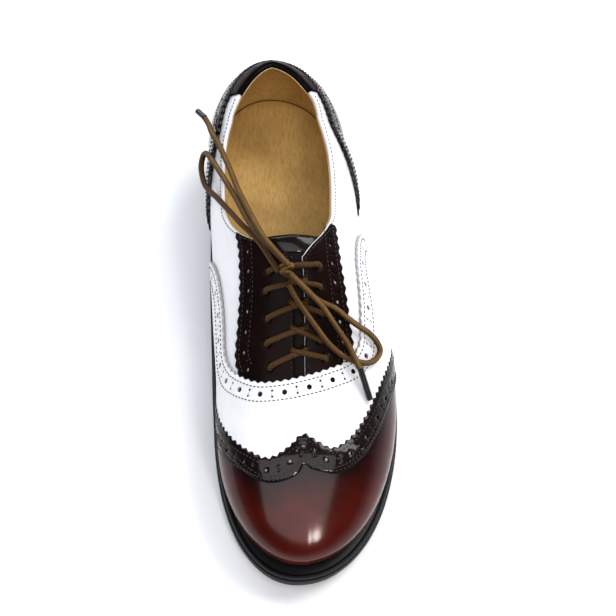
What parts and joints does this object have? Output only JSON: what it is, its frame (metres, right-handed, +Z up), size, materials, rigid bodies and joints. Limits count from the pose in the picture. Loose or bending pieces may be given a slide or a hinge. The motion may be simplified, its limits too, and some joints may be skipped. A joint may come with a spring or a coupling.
{
  "type": "oxford shoe",
  "caption": "Left wingtip oxford shoe: white leather upper, dark pinked overlays, glossy toe cap, tied round laces, rubber sole with a welt and a low heel.",
  "frame": {"origin": "centre of the sole's plan rectangle, on the ground under the sole", "axes": "+Y towards the heel, -Y towards the toe, +Z up, -X the inner (big toe) side of this left shoe"},
  "size_m": [0.0964, 0.27, 0.1002],
  "materials": {
    "sole_rubber": "matte black rubber",
    "welt_rubber": "satin black moulded rubber with a fine ripple",
    "lining_leather": "tan lining leather with a fine grain",
    "white_leather": "smooth white leather, soft sheen, tan lining inside",
    "dark_leather": "polished dark brown leather",
    "burgundy_leather": "high-gloss burgundy leather",
    "aglet": "dark plastic tips",
    "lace": "waxed round woven cord, golden brown"
  },
  "bodies": {
    "root": {"outsole": "sole_rubber", "welt": "welt_rubber", "heel": "sole_rubber", "top_lift": "sole_rubber", "insole": "lining_leather", "upper": "white_leather", "vamp": "white_leather", "tongue": "dark_leather", "facing_medial": "dark_leather", "facing_lateral": "dark_leather", "wing_band": "dark_leather", "counter": "dark_leather", "collar_strip": "dark_leather", "toe_cap": "burgundy_leather", "aglet_medial": "aglet", "aglet_lateral": "aglet", "lace_row_1": "lace", "lace_row_2": "lace", "lace_row_3": "lace", "lace_row_4": "lace", "lace_row_5": "lace", "lace_knot": "lace", "lace_loop_medial": "lace", "lace_loop_lateral": "lace", "lace_end_medial": "lace", "lace_end_lateral": "lace"}
  },
  "joints": []
}
